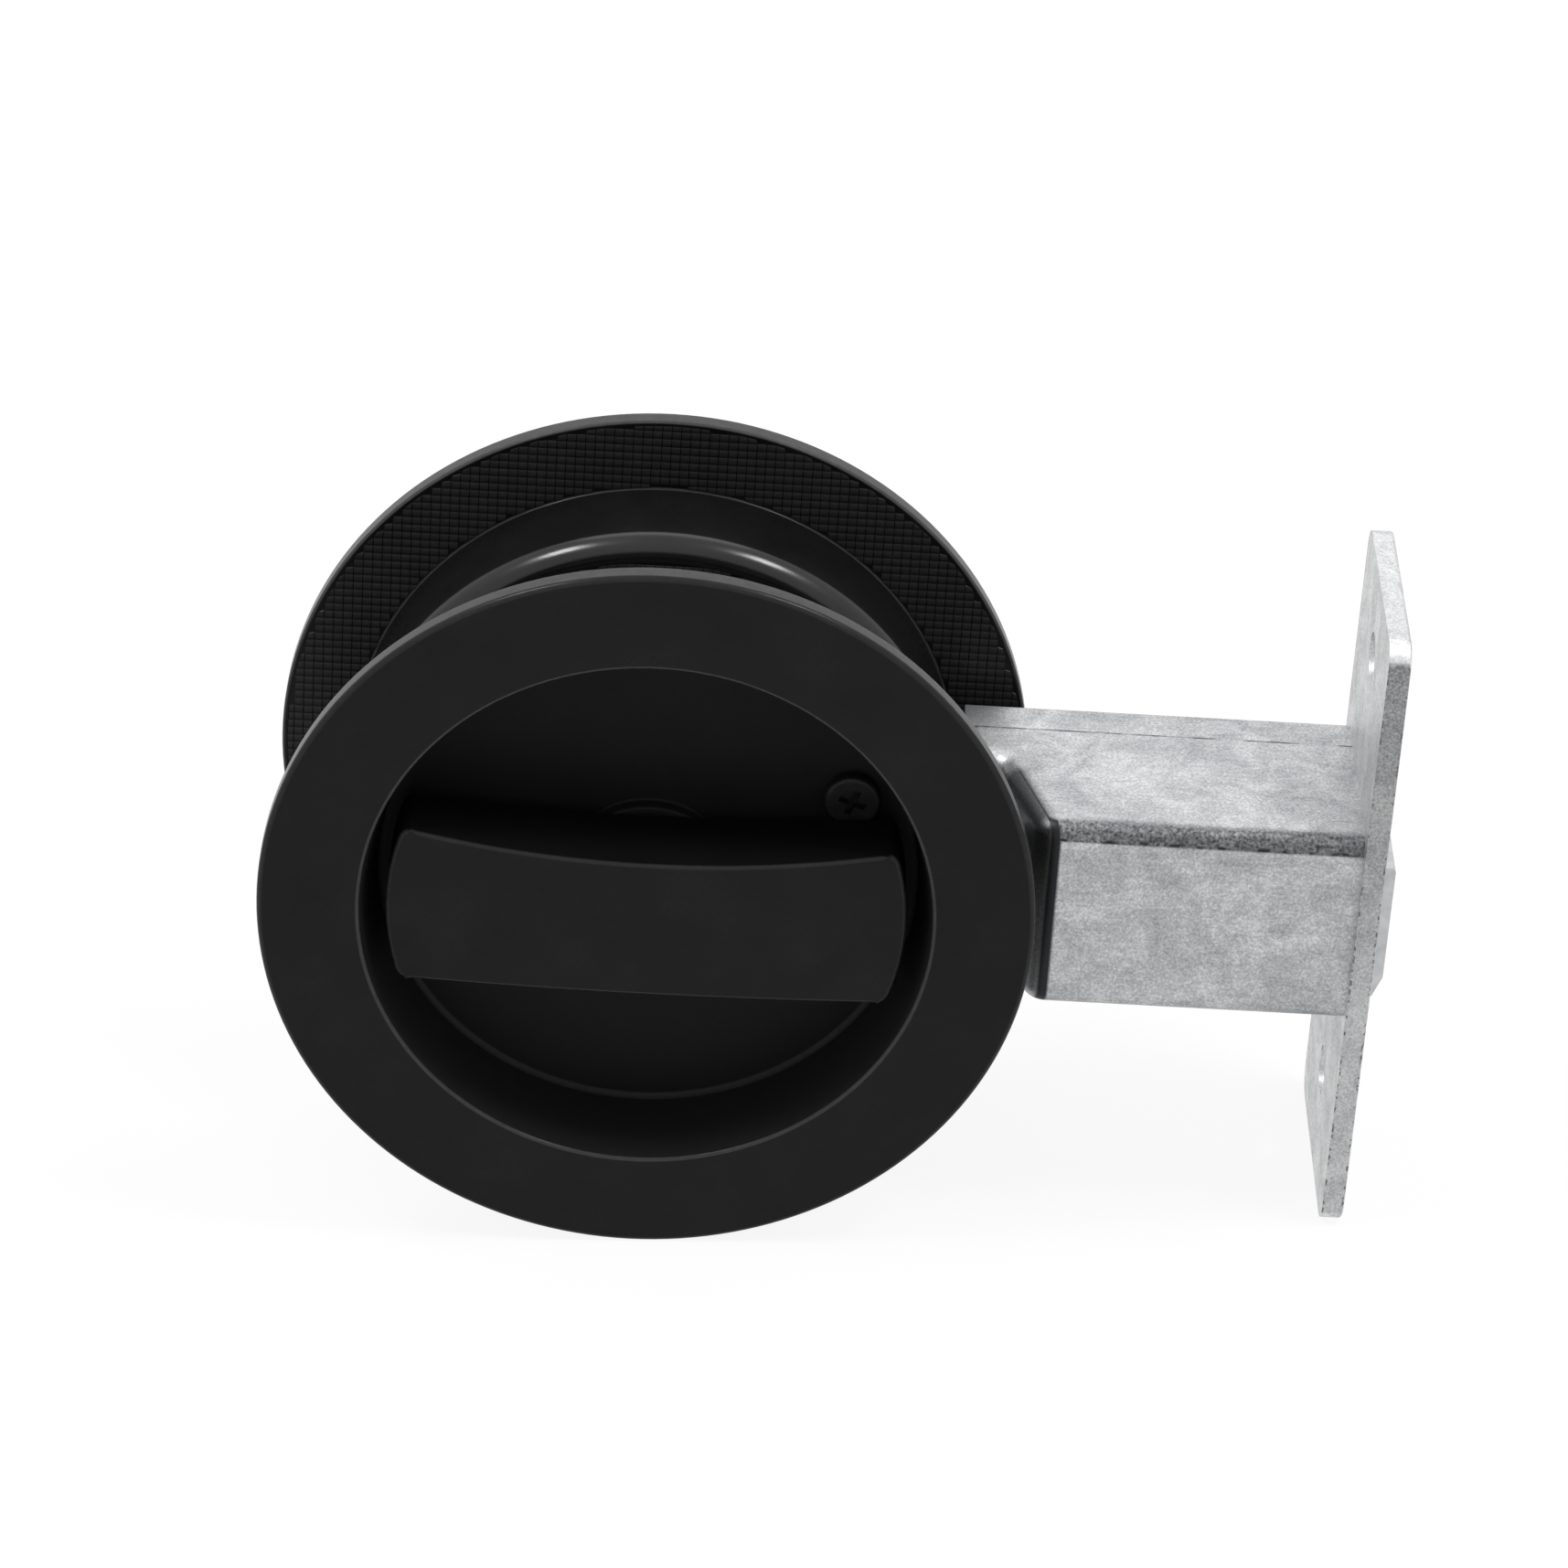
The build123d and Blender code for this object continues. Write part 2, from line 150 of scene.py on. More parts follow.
def makeStudio(s):
    world = bpy.data.worlds.new("whiteStudio")
    scene.world = world
    world.use_nodes = True
    tree = world.node_tree
    tree.nodes.clear()
    light = add(tree, "Background", {"Color": hexColour("#ffffff"), "Strength": s["ambient"]})
    white = add(tree, "Background", {"Color": hexColour("#ffffff"), "Strength": 1.0})
    mix = add(tree, "MixShader", {0: seenDirectly(tree), 1: light.outputs[0], 2: white.outputs[0]})
    add(tree, "OutputWorld", {"Surface": mix.outputs[0]})

    bm = bmesh.new()
    bmesh.ops.create_grid(bm, x_segments=1, y_segments=1, size=s["floorSize"] / 2)
    bmesh.ops.translate(bm, vec=(0, 0, sidesOf("front_rosette")["bottom"] * mm), verts=bm.verts)
    tilt = Matrix.Rotation(radians(-s["floorTilt"]), 3, "Y")
    bmesh.ops.rotate(bm, cent=(0, 0, 0), matrix=tilt, verts=bm.verts)
    mesh = bpy.data.meshes.new("paleFloor")
    bm.to_mesh(mesh)
    bm.free()
    floor = bpy.data.objects.new("paleFloor", mesh)
    scene.collection.objects.link(floor)
    # Matte white board: it shows white but keeps a soft shadow
    material = bpy.data.materials.new("matteWhiteBoard")
    material.use_nodes = True
    tree = material.node_tree
    tree.nodes.clear()
    board = add(tree, "BsdfDiffuse", {"Color": hexColour(s["floorColour"])})
    white = add(tree, "Emission", {"Color": hexColour("#ffffff"), "Strength": 1.0})
    share = add(tree, "Math", {0: seenDirectly(tree), 1: s["floorShare"]}, operation="MULTIPLY")
    mix = add(tree, "MixShader", {0: share.outputs[0], 1: board.outputs[0], 2: white.outputs[0]})
    add(tree, "OutputMaterial", {"Surface": mix.outputs[0]})
    mesh.materials.append(material)

    for name, place, size, power in s["lamps"]:
        data = bpy.data.lights.new(name, "AREA")
        data.shape = "RECTANGLE"
        data.size, data.size_y = (length * mm for length in size)
        data.energy = power
        lamp = bpy.data.objects.new(name, data)
        lamp.location = Vector(place) * mm
        lamp.rotation_euler = (-lamp.location).to_track_quat("-Z", "Y").to_euler()
        scene.collection.objects.link(lamp)


makeStudio(studio)
print("studio lit")


# Black coat by name: shades, roughness, gloss
# It lies even outside and thick on the cup's shoulder; it is duller in the cup, where its floor and walls
# are painted lighter as painted fill light; darker and duller on the bar's sides
blackCoats = {
    "satinBlackZinc": (("#101011", "#161617"), 0.26, 0.12),
    "dullBlackZincFloorPaintedFill": (("#181819", "#1a1a1b"), 0.46, 0.06),
    "dullBlackZincWallPaintedFill": (("#1f1f20", "#212122"), 0.46, 0.06),
    "glossBlackZinc": (("#101011", "#161617"), 0.22, 0.42),
    "dullBlackZincSide": (("#0c0c0d", "#0e0e0f"), 0.5, 0.05),
}


def blackZinc(name, shades, roughness, gloss):
    # Die-cast zinc under a thin satin black coat: very dark, fine grit, greyer where rims are rubbed and
    # where painted highlights lie on rims and edges
    material, tree, shader, place = startMaterial(name)
    grit = add(tree, "TexNoise", {"Vector": place, "Scale": 1 / (0.16 * mm), "Detail": 3.0})
    cloud = add(tree, "TexNoise", {"Vector": place, "Scale": 1 / (6 * mm), "Detail": 4.0, "Roughness": 0.6})
    coat = add(tree, "ValToRGB", {"Fac": cloud.outputs["Fac"]}, zip((0.3, 0.7), shades))
    rough = add(tree, "MapRange", {"Value": cloud.outputs["Fac"], "To Min": roughness - 0.04,
                                   "To Max": roughness + 0.04})
    # Rims carry a vertex value that says how far the coat is rubbed, and that also paints highlights on rims
    # and edges as a lighter grey
    rubAndHighlight = add(tree, "Attribute", attribute_name="rubAndHighlight").outputs["Fac"]
    chip = add(tree, "TexNoise", {"Vector": place, "Scale": 1 / (0.9 * mm), "Detail": 4.0, "Roughness": 0.7})
    broken = add(tree, "MapRange", {"Value": chip.outputs["Fac"], "From Min": 0.35, "From Max": 0.65,
                                    "To Min": 0.75, "To Max": 1.0})
    wearAndHighlight = add(tree, "Math", {0: rubAndHighlight, 1: broken.outputs[0]}, operation="MULTIPLY")
    # Lighter grey where the coat is rubbed and where rims and edges carry a painted highlight
    colour = add(tree, "Mix", {"Factor": wearAndHighlight.outputs[0], "A": coat.outputs["Color"],
                               "B": hexColour("#8d8d8d")}, data_type="RGBA")
    bump = add(tree, "Bump", {"Height": grit.outputs["Fac"], "Strength": 0.2, "Distance": 0.02 * mm})
    links = tree.links
    links.new(colour.outputs["Result"], shader.inputs["Base Color"])
    links.new(rough.outputs[0], shader.inputs["Roughness"])
    links.new(bump.outputs[0], shader.inputs["Normal"])
    shader.inputs["Specular IOR Level"].default_value = gloss
    return material


# Shares of the noises in the tone of the plating, alike on both steels
platingShares = {"roll": 0.15, "cloud": 0.45, "grain": 0.4}


def zincPlatedSteel(name, s, markAndShadePlaces):
    # Rolled steel with dull zinc plating: roll streaks, cloudy passivation, fine grain, and dark marks,
    # mostly painted shade and dark reflection on bends, the seam and edge corners
    material, tree, shader, place = startMaterial(name)
    stretch = add(tree, "Mapping", {"Vector": place, "Scale": s["rolled"]})
    roll = add(tree, "TexNoise", {"Vector": stretch.outputs[0], "Scale": 1 / (0.45 * mm), "Detail": 5.0,
                                  "Roughness": 0.65})
    cloud = add(tree, "TexNoise", {"Vector": place, "Scale": 1 / (5 * mm), "Detail": 6.0, "Roughness": 0.7,
                                   "Distortion": 0.8})
    grain = add(tree, "TexNoise", {"Vector": place, "Scale": 1 / (0.22 * mm), "Detail": 2.0})
    tone = add(tree, "Math", {0: roll.outputs["Fac"], 1: platingShares["roll"]}, operation="MULTIPLY")
    for noise, share in ((cloud, platingShares["cloud"]), (grain, platingShares["grain"])):
        tone = add(tree, "Math", {0: noise.outputs["Fac"], 1: share, 2: tone.outputs[0]},
                   operation="MULTIPLY_ADD")
    plating = add(tree, "ValToRGB", {"Fac": tone.outputs[0]}, zip((0.36, 0.5, 0.64), s["tones"]))
    # Darker where the marks lie: painted shade and dark reflection, with the greyer sheared edges of the
    # plate
    dark = markAndShadePlaces(tree, place, s)
    colour = add(tree, "Mix", {"Factor": dark, "A": plating.outputs["Color"], "B": hexColour(s["markAndShadeColour"])},
                 data_type="RGBA")
    rough = add(tree, "MapRange", {"Value": tone.outputs[0], "From Min": 0.35, "From Max": 0.65,
                                   "To Min": 0.52, "To Max": 0.38})
    bump = add(tree, "Bump", {"Height": tone.outputs[0], "Strength": 0.2, "Distance": 0.03 * mm})
    links = tree.links
    links.new(colour.outputs["Result"], shader.inputs["Base Color"])
    links.new(rough.outputs[0], shader.inputs["Roughness"])
    links.new(bump.outputs[0], shader.inputs["Normal"])
    shader.inputs["Metallic"].default_value = 1.0
    return material


# Case steel: each pair is where a painted dark mark starts and where it is full, in mm
caseSteel = {
    "tones": ("#8f9193", "#b0b1b3", "#d4d5d6"),
    "markAndShadeColour": "#303133",
    "rolled": (0.12, 1.0, 1.0),        # draws the streaks out along X
    "bendFoot": (1.7, 1.5),            # below the top
    "bendFront": (1.7, 0.9),           # behind the front
    "bendLine": (0.55, 1.35),          # below the top
    "bendSpots": (0.52, 0.95),         # how dark the mottled bend is
    "slantAngle": 16.56,               # of the wall beside the cup
    "slantReach": 28.734,              # from the origin to that wall
    "slantInner": (-1.8, -1.55),       # across that wall, and so the next two
    "slantOuter": (0.5, 0.3),
    "uprightBend": (-0.65, -0.95),
    "slantTop": (-0.05, 0.15),         # below the top
    "slantFront": (-0.5, -1.5),        # before the middle of the case
    "slantHeights": (0.0, 6.0),        # above the middle
    "slantShades": (0.1, 0.7),         # at those heights
    "seamAside": 0.05,                 # beyond the edge of the front shell
    "seamWidth": (0.24, 0.12),
}


def caseShadeMarks(tree, place, s):
    # Painted dark reflection and shade on the case: a mottled band on the bend under the top, the upright
    # bend, the slanted wall that faces the black rosette, and painted shadow in the seam
    shell = sidesOf("case_front_shell")
    top, front, seamEdge = shell["top"], shell["front"], shell["back"]
    inMm = add(tree, "VectorMath", {0: place, "Scale": 1 / mm}, operation="SCALE").outputs[0]
    axes = add(tree, "SeparateXYZ", {"Vector": inMm})
    y, z = axes.outputs["Y"], axes.outputs["Z"]
    # The bend under the top: painted dark reflection, mottled, with a darker line at its foot
    above = add(tree, "MapRange", {"Value": z, "From Min": top - s["bendFoot"][0],
                                   "From Max": top - s["bendFoot"][1]})
    facing = add(tree, "MapRange", {"Value": y, "From Min": front + s["bendFront"][0],
                                    "From Max": front + s["bendFront"][1]})
    bendNoise = add(tree, "TexNoise", {"Vector": place, "Scale": 1 / (0.3 * mm), "Detail": 5.0,
                                   "Roughness": 0.6})
    spots = add(tree, "MapRange", {"Value": bendNoise.outputs["Fac"], "From Min": 0.35, "From Max": 0.65,
                                   "To Min": s["bendSpots"][0], "To Max": s["bendSpots"][1]})
    line = add(tree, "MapRange", {"Value": z, "From Min": top - s["bendLine"][0],
                                  "From Max": top - s["bendLine"][1]})
    uneven = add(tree, "TexNoise", {"Vector": place, "Scale": 1 / (1.2 * mm), "Detail": 4.0})
    uneven = add(tree, "MapRange", {"Value": uneven.outputs["Fac"], "From Min": 0.4, "From Max": 0.6,
                                    "To Min": 0.35, "To Max": 1.0})
    line = add(tree, "Math", {0: line.outputs[0], 1: uneven.outputs[0]}, operation="MULTIPLY")
    mottle = add(tree, "Math", {0: line.outputs[0], 1: spots.outputs[0]}, operation="MAXIMUM")
    bend = add(tree, "Math", {0: above.outputs[0], 1: facing.outputs[0]}, operation="MULTIPLY")
    bend = add(tree, "Math", {0: bend.outputs[0], 1: mottle.outputs[0]}, operation="MULTIPLY")
    # Depth behind the slanted wall tells it and the upright bend from the rest; both get a painted dark
    # reflection of the black rosette, darker towards the top
    slant = radians(s["slantAngle"])
    across = add(tree, "VectorMath", {0: inMm, 1: (-cos(slant), -sin(slant), 0)}, operation="DOT_PRODUCT")
    depth = add(tree, "Math", {0: across.outputs["Value"], 1: s["slantReach"]}, operation="ADD").outputs[0]
    inner = add(tree, "MapRange", {"Value": depth, "From Min": s["slantInner"][0],
                                   "From Max": s["slantInner"][1]})
    outer = add(tree, "MapRange", {"Value": depth, "From Min": s["slantOuter"][0],
                                   "From Max": s["slantOuter"][1]})
    under = add(tree, "MapRange", {"Value": z, "From Min": top - s["slantTop"][0],
                                   "From Max": top - s["slantTop"][1]})
    ahead = add(tree, "MapRange", {"Value": y, "From Min": s["slantFront"][0],
                                   "From Max": s["slantFront"][1]})
    rise = add(tree, "MapRange", {"Value": z, "From Min": s["slantHeights"][0],
                                  "From Max": s["slantHeights"][1], "To Min": s["slantShades"][0],
                                  "To Max": s["slantShades"][1]})
    upright = add(tree, "MapRange", {"Value": depth, "From Min": s["uprightBend"][0],
                                     "From Max": s["uprightBend"][1]})
    wall = add(tree, "Math", {0: rise.outputs[0], 1: upright.outputs[0]}, operation="MAXIMUM")
    for limit in (inner, outer, under, ahead):
        wall = add(tree, "Math", {0: wall.outputs[0], 1: limit.outputs[0]}, operation="MULTIPLY")
    # Painted shadow in the seam of the two shells, broken along it
    aside = add(tree, "Math", {0: y, 1: seamEdge + s["seamAside"]}, operation="SUBTRACT")
    aside = add(tree, "Math", {0: aside.outputs[0]}, operation="ABSOLUTE")
    seam = add(tree, "MapRange", {"Value": aside.outputs[0], "From Min": s["seamWidth"][0],
                                  "From Max": s["seamWidth"][1]})
    gaps = add(tree, "TexNoise", {"Vector": place, "Scale": 1 / (2.5 * mm), "Detail": 4.0})
    gaps = add(tree, "MapRange", {"Value": gaps.outputs["Fac"], "From Min": 0.4, "From Max": 0.6})
    seam = add(tree, "Math", {0: seam.outputs[0], 1: gaps.outputs[0]}, operation="MULTIPLY")
    marks = add(tree, "Math", {0: bend.outputs[0], 1: wall.outputs[0]}, operation="MAXIMUM")
    return add(tree, "Math", {0: marks.outputs[0], 1: seam.outputs[0]}, operation="MAXIMUM").outputs[0]


# Plate steel, with the marks on its sheared edges, in mm
plateSteel = {
    "tones": ("#a8aaab", "#cbcccd", "#e8e9e9"),
    "markAndShadeColour": "#303133",
    "rolled": (1.0, 1.0, 0.15),        # draws the streaks out along Z
    "edgeInset": (0.25, 0.1),          # from the long edges
    "cornerInset": (0.3, 0.15),        # from the corners of the edges
    "middleAside": 0.05,               # towards the case, so the dark burr lines reach further from the outer face
    "burrLineShade": 0.8,
    "edgeHeights": (-10, 26),
    "edgeShades": (0.28, 0.62),        # at those heights
}


def plateMarks(tree, place, s):
    # Sheared long edges of the plate: greyer, darker towards the top, with broken dark lines along their
    # corners, a painted dark reflection of their burrs
    plate = sidesOf("faceplate")
    half = (plate["right"] - plate["left"]) / 2
    centre = plate["left"] + half - s["middleAside"]
    inMm = add(tree, "VectorMath", {0: place, "Scale": 1 / mm}, operation="SCALE").outputs[0]
    axes = add(tree, "SeparateXYZ", {"Vector": inMm})
    aside = add(tree, "Math", {0: axes.outputs["Y"]}, operation="ABSOLUTE")
    edge = add(tree, "MapRange", {"Value": aside.outputs[0], "From Min": plate["back"] - s["edgeInset"][0],
                                  "From Max": plate["back"] - s["edgeInset"][1]})
    middle = add(tree, "Math", {0: axes.outputs["X"], 1: centre}, operation="SUBTRACT")
    middle = add(tree, "Math", {0: middle.outputs[0]}, operation="ABSOLUTE")
    corner = add(tree, "MapRange", {"Value": middle.outputs[0], "From Min": half - s["cornerInset"][0],
                                    "From Max": half - s["cornerInset"][1]})
    burrLine = add(tree, "TexNoise", {"Vector": place, "Scale": 1 / (0.5 * mm), "Detail": 3.0})
    burrLine = add(tree, "MapRange", {"Value": burrLine.outputs["Fac"], "From Min": 0.52, "From Max": 0.58,
                                  "To Max": s["burrLineShade"]})
    burrLine = add(tree, "Math", {0: burrLine.outputs[0], 1: corner.outputs[0]}, operation="MULTIPLY")
    grain = add(tree, "TexNoise", {"Vector": place, "Scale": 1 / (0.25 * mm), "Detail": 4.0})
    grey = add(tree, "MapRange", {"Value": grain.outputs["Fac"], "From Min": 0.35, "From Max": 0.65,
                                  "To Min": 0.75, "To Max": 1.2})
    rise = add(tree, "MapRange", {"Value": axes.outputs["Z"], "From Min": s["edgeHeights"][0],
                                  "From Max": s["edgeHeights"][1], "To Min": s["edgeShades"][0],
                                  "To Max": s["edgeShades"][1]})
    grey = add(tree, "Math", {0: grey.outputs[0], 1: rise.outputs[0]}, operation="MULTIPLY")
    marks = add(tree, "Math", {0: burrLine.outputs[0], 1: grey.outputs[0]}, operation="MAXIMUM")
    return add(tree, "Math", {0: marks.outputs[0], 1: edge.outputs[0]}, operation="MULTIPLY").outputs[0]


# Small pieces by material: darker and lighter colour, roughness, metallic
smallStock = {
    "blackOxideSteel": ("#181819", "#212122", 0.35, 0.0),
    "brightTurnedSteel": ("#b4b5b7", "#d2d3d4", 0.3, 1.0),
    "oiledSpringSteel": ("#6d6e72", "#8b8c90", 0.35, 1.0),
    "blackNylon": ("#0d0d0d", "#131313", 0.55, 0.0),
    "turnedBrass": ("#b08d45", "#d3b168", 0.3, 1.0),
    "platedCastZinc": ("#b2b4b6", "#c7c8c9", 0.4, 1.0),
}


def smallFinish(name, dark, light, roughness, metallic):
    # Turned, stamped or moulded: fine tool streaks, a little tarnish, and a low gloss where it is no metal
    material, tree, shader, place = startMaterial(name)
    cloud = add(tree, "TexNoise", {"Vector": place, "Scale": 1 / (1.5 * mm), "Detail": 5.0})
    stretch = add(tree, "Mapping", {"Vector": place, "Scale": (1.0, 6.0, 1.0)})
    streak = add(tree, "TexNoise", {"Vector": stretch.outputs[0], "Scale": 1 / (0.4 * mm), "Detail": 3.0})
    colour = add(tree, "ValToRGB", {"Fac": cloud.outputs["Fac"]}, [(0.35, dark), (0.65, light)])
    rough = add(tree, "MapRange", {"Value": streak.outputs["Fac"], "To Min": roughness - 0.1,
                                   "To Max": roughness + 0.1})
    bump = add(tree, "Bump", {"Height": streak.outputs["Fac"], "Strength": 0.15, "Distance": 0.02 * mm})
    links = tree.links
    links.new(colour.outputs["Color"], shader.inputs["Base Color"])
    links.new(rough.outputs[0], shader.inputs["Roughness"])
    links.new(bump.outputs[0], shader.inputs["Normal"])
    shader.inputs["Metallic"].default_value = metallic
    if not metallic:
        shader.inputs["Specular IOR Level"].default_value = 0.15
    return material


finishes = {name: blackZinc(name, *values) for name, values in blackCoats.items()}
finishes["zincPlatedCaseSteel"] = zincPlatedSteel("zincPlatedCaseSteel", caseSteel, caseShadeMarks)
finishes["zincPlatedFaceSteel"] = zincPlatedSteel("zincPlatedFaceSteel", plateSteel, plateMarks)
for name, values in smallStock.items():
    finishes[name] = smallFinish(name, *values)

solidsByFinish = {
    "satinBlackZinc": ["front_rosette", "back_rosette", "turn_snib", "release_button"],
    "zincPlatedCaseSteel": ["case_front_shell", "case_back_shell", "hook_carrier", "case_rivets",
                            "drive_link"],
    "zincPlatedFaceSteel": ["faceplate"],
    "blackOxideSteel": ["through_screws"],
    "brightTurnedSteel": ["hook_pivot_pin", "hook_drive_pin", "crank_pin", "spindle"],
    "oiledSpringSteel": ["front_clip", "back_clip", "detent_spring"],
    "blackNylon": ["front_washer", "back_washer"],
    "turnedBrass": ["front_bush", "back_bush"],
    "platedCastZinc": ["hub", "hook_bolt"],
}
for name, solids in solidsByFinish.items():
    for solid in solids:
        nodes[solid].data.materials.clear()
        nodes[solid].data.materials.append(finishes[name])
print("finishes made")


sharpAngle = 40       # an edge that turns further stays crisp


def finishPiece(name, bm, coats, body, solid):
    # Mesh to object: smooth, at the origin, riding on its body in place of the solid
    bmesh.ops.scale(bm, vec=(mm, mm, mm), verts=bm.verts)
    for face in bm.faces:
        face.smooth = True
    mesh = bpy.data.meshes.new(name)
    bm.to_mesh(mesh)
    bm.free()
    mesh.set_sharp_from_angle(angle=radians(sharpAngle))
    for coat in coats:
        mesh.materials.append(finishes[coat])
    piece = bpy.data.objects.new(name, mesh)
    scene.collection.objects.link(piece)
    weigh = piece.modifiers.new("evenNormals", "WEIGHTED_NORMAL")
    weigh.keep_sharp = True
    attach(piece, body)
    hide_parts(solid)


rosette = {
    "flangeBack": 13.1, "opening": 24.35, "floor": 7.0, "floorRadius": 23.1,
    "boss": 7.1, "bossTop": 8.2, "bore": 4.95, "cup": 26.4, "draft": 0.3,
    "pocket": 6.3, "pocketTop": 5.2,
    "rimBand": 0.02,                                   # depth of the rim band painted lighter, as rubbed coat and painted highlight
    "rimMargin": 0.4, "backMargin": 2.0,               # plain borders of the knurled faces
    "padCount": 88, "padPitch": (0.82, 0.745), "padHeight": 0.07, "padInset": 0.08, "padSink": 0.02,
    "cupGap": 0.1, "rimGap": 0.05, "pocketGap": 0.2,   # between the knurl and what it ends at
    "rounding": {"bossEdge": 0.3, "bossFoot": 0.25, "floorEdge": 0.5, "openingEdge": 0.3, "faceEdge": 0.5,
                 "flangeEdge": 0.25, "cupFoot": 0.2, "shoulder": 1.9},
    "segments": 5, "shoulderSegments": 12, "steps": 180, "weld": 0.0005,
    # Rub values: rubbed coat and painted highlights along rims and edges; the pads a little lighter overall
    # as painted fill light
    "rubAndHighlight": {"floorEdge": 0.06, "openingEdge": 0.14, "faceEdge": 0.05, "flangeEdge": 0.2, "cupFoot": 0.08,
            "rim": 0.2, "padTop": 0.1, "pad": 0.01},
    "rubAndHighlightReach": 0.95,                                  # share of a rounding that is painted lighter, as rub and painted highlight
    "coats": ["satinBlackZinc", "dullBlackZincFloorPaintedFill", "dullBlackZincWallPaintedFill", "glossBlackZinc"],
    "insideMargin": 0.2, "floorMargin": 0.1,           # from the opening and the boss to the coats' ends
}


def spinSection(bm, s, side, section):
    # Closed section of named corners with radius and depth, rounded, given its rub and painted highlight and
    # turned about the Y axis
    rubAndHighlightLayer = bm.verts.layers.float["rubAndHighlight"]
    verts = [bm.verts.new((r, side * y, 0)) for name, r, y in section]
    bm.faces.new(verts)
    for vert, (name, r, y) in zip(verts, section):
        rubAndHighlight = s["rubAndHighlight"].get(name, 0.0)
        vert[rubAndHighlightLayer] = rubAndHighlight
        if name in s["rounding"]:
            rounding = s["rounding"][name]
            segments = s["shoulderSegments"] if name == "shoulder" else s["segments"]
            made = bmesh.ops.bevel(bm, geom=[vert], offset=rounding, offset_type="OFFSET", affect="VERTICES",
                                   segments=segments, profile=0.5, material=-1)
            corner = Vector((r, side * y, 0))
            for new in made["verts"]:
                new[rubAndHighlightLayer] = rubAndHighlight if (new.co - corner).length < s["rubAndHighlightReach"] * rounding else 0.0
    bmesh.ops.delete(bm, geom=list(bm.faces), context="FACES_ONLY")
    bmesh.ops.spin(bm, geom=list(bm.verts) + list(bm.edges), cent=(0, 0, 0), axis=(0, 1, 0), angle=2 * pi,
                   steps=s["steps"], use_merge=True)
    bmesh.ops.remove_doubles(bm, verts=bm.verts, dist=s["weld"])
    bmesh.ops.recalc_face_normals(bm, faces=bm.faces)


def addKnurl(bm, s, side, base, inner, outer):
    # Grid of low pads over a ring, each pad painted lighter along its upper edge as a painted highlight
    count = s["padCount"]
    height = s["padHeight"] + s["padSink"]
    rubAndHighlightLayer = bm.verts.layers.float["rubAndHighlight"]
    already = len(bm.faces)
    made = bmesh.ops.create_grid(bm, x_segments=count, y_segments=count, size=count / 2)
    bmesh.ops.scale(bm, vec=(*s["padPitch"], 1.0), verts=made["verts"])
    bm.faces.ensure_lookup_table()
    faces = bm.faces[already:]
    spare = [face for face in faces if not inner < face.calc_center_median().length < outer]
    bmesh.ops.delete(bm, geom=spare, context="FACES")
    faces = [face for face in faces if face.is_valid]
    verts = list({vert for face in faces for vert in face.verts})
    for vert in verts:
        vert.co *= min(max(vert.co.length, inner), outer) / vert.co.length
    bmesh.ops.rotate(bm, cent=(0, 0, 0), matrix=Matrix.Rotation(radians(90 * side), 3, "X"), verts=verts)
    bmesh.ops.translate(bm, vec=(0, side * (base + height), 0), verts=verts)
    bmesh.ops.inset_individual(bm, faces=faces, thickness=s["padInset"], depth=height)
    # The upper half of each pad gets a painted highlight, the rest a faint lightening
    for face in faces:
        middle = face.calc_center_median().z
        for vert in face.verts:
            vert[rubAndHighlightLayer] = s["rubAndHighlight"]["padTop"] if vert.co.z > middle else s["rubAndHighlight"]["pad"]


def makeRosette(s, side):
    # One rosette; side is -1 for the front one and 1 for the back one, which has the same sizes
    box = sidesOf("front_rosette")
    radius, face, cupBack = box["right"], -box["front"], -box["back"]
    rim = radius - s["rimMargin"]
    cupEnd = s["cup"] - s["draft"]
    seat = cupEnd - s["backMargin"]
    flangeFoot = s["flangeBack"] + s["padHeight"]
    seatFoot = cupBack + s["padHeight"]
    section = [
        ("boreTop", s["bore"], s["bossTop"]),
        ("bossEdge", s["boss"], s["bossTop"]),
        ("bossFoot", s["boss"], s["floor"]),
        ("floorEdge", s["floorRadius"], s["floor"]),
        ("openingEdge", s["opening"], face),
        ("faceEdge", radius, face),
        ("flangeEdge", radius, s["flangeBack"]),
        ("rimStep", rim, s["flangeBack"]),
        ("rimFoot", rim, flangeFoot),
        ("cupFoot", s["cup"], flangeFoot),
        ("shoulder", cupEnd, cupBack),
        ("seatStep", seat, cupBack),
        ("seatFoot", seat, seatFoot),
        ("pocketEdge", s["pocket"], seatFoot),
        ("pocketTop", s["pocket"], s["pocketTop"]),
        ("boreEnd", s["bore"], s["pocketTop"]),
    ]
    bm = bmesh.new()
    rubAndHighlightLayer = bm.verts.layers.float.new("rubAndHighlight")
    spinSection(bm, s, side, section)
    # The rim band is painted lighter: a painted highlight on the rim, partly rubbed coat
    for vert in bm.verts:
        if vert.co.xz.length > radius - s["rimBand"]:
            vert[rubAndHighlightLayer] = s["rubAndHighlight"]["rim"]
    # Knurl on the two faces that bear on the door and the case
    addKnurl(bm, s, side, s["flangeBack"], s["cup"] + s["cupGap"], rim - s["rimGap"])
    addKnurl(bm, s, side, cupBack, s["pocket"] + s["pocketGap"], seat)
    # Faces inside the cup take the lighter coats that paint fill light on its floor and walls
    for part in bm.faces:
        middle = part.calc_center_median()
        depth = abs(middle.y)
        inside = middle.xz.length < s["opening"] + s["insideMargin"]
        if inside and depth < face - s["rounding"]["openingEdge"]:
            part.material_index = 1 if depth < s["bossTop"] + s["floorMargin"] else 2
        elif depth < cupBack + s["rounding"]["shoulder"]:
            part.material_index = 3
    return bm


